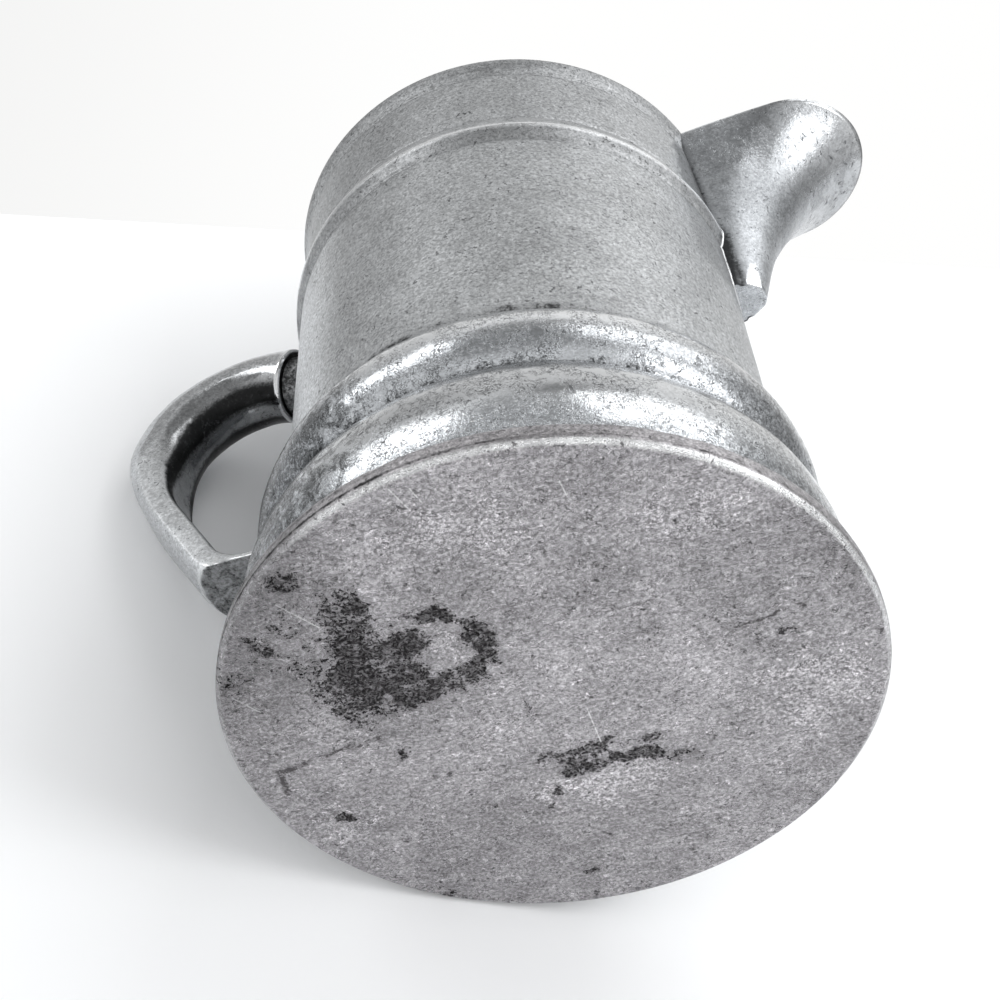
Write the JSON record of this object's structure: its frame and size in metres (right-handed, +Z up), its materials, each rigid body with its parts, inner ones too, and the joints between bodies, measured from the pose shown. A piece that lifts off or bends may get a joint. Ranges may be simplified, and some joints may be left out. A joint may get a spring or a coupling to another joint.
{
  "type": "creamer",
  "caption": "Small pewter creamer: straight drum with a rim band and a bead on a ringed foot, with a beak-shaped pouring spout and an ear handle.",
  "frame": {"origin": "centre of the flat underside of the base plate", "axes": "+Z up through the drum, +X towards the spout, the handle at -X"},
  "size_m": [0.117, 0.076, 0.0986],
  "materials": {
    "pewter_drum": "dull grey pewter with a fine worn grain",
    "pewter_foot": "worn half-bright pewter, pitted between the highlights",
    "pewter_base": "dull scratched pewter with dark tarnish stains",
    "pewter_spout": "worn half-bright pewter",
    "pewter_handle": "hand-polished pewter, dull towards the heel",
    "solder": "dark tarnished solder"
  },
  "bodies": {
    "root": {"drum": "pewter_drum", "foot_ring": "pewter_foot", "base_plate": "pewter_base", "spout": "pewter_spout", "handle": "pewter_handle", "handle_neck": "solder", "foot_solder": "solder", "floor_solder": "solder", "spout_solder": "solder", "heel_solder": "solder"}
  },
  "joints": []
}
